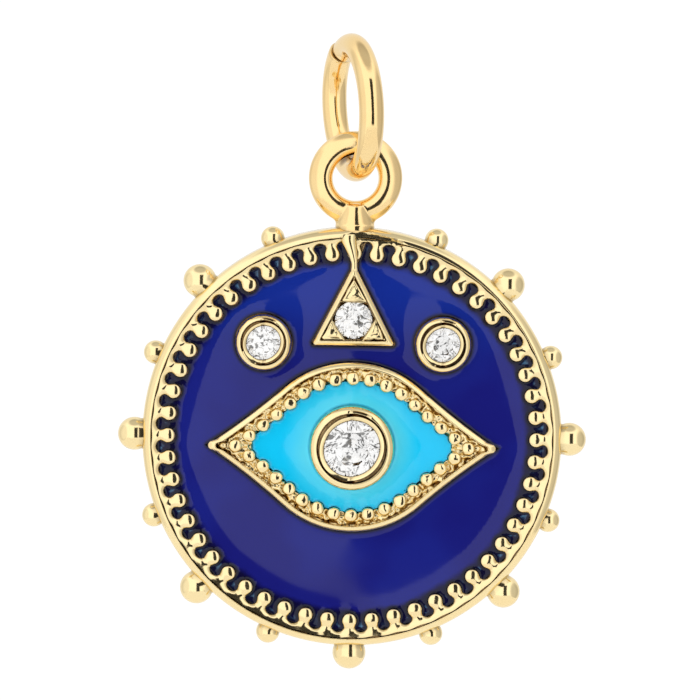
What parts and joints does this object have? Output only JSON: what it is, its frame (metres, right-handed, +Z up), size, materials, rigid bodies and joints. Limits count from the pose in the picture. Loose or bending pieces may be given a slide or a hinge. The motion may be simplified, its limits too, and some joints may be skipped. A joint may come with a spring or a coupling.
{
  "type": "evil eye pendant",
  "caption": "Round gold-plated enamel pendant with an almond eye, bezel-set stones, a beaded rim and a loop hanging in an open jump ring.",
  "frame": {"origin": "inside top of the jump ring, where a chain carries the pendant", "axes": "+Z up, the face looks along -Y, +X to the right of someone who looks at the face"},
  "size_m": [0.019, 0.0058, 0.0258],
  "materials": {
    "casting_gold": "polished gold plating",
    "ring_gold": "polished gold plating",
    "dark_blue_enamel": "glossy enamel",
    "light_blue_enamel": "glossy enamel",
    "clear_stone": "cut and polished"
  },
  "bodies": {
    "jump_ring": {"jump_ring": "ring_gold"},
    "pendant": {"casting": "casting_gold", "blue_enamel": "dark_blue_enamel", "eye_enamel": "light_blue_enamel", "stone_center": "clear_stone", "stone_left": "clear_stone", "stone_right": "clear_stone", "stone_triangle": "clear_stone"}
  },
  "joints": [
    {"name": "pendant_swing", "type": "hinge", "parent": "jump_ring", "child": "pendant", "pos_m": [0.00026, 0, -0.00449], "axis": [0, 1, 0], "range_deg": [-90, 90]}
  ]
}
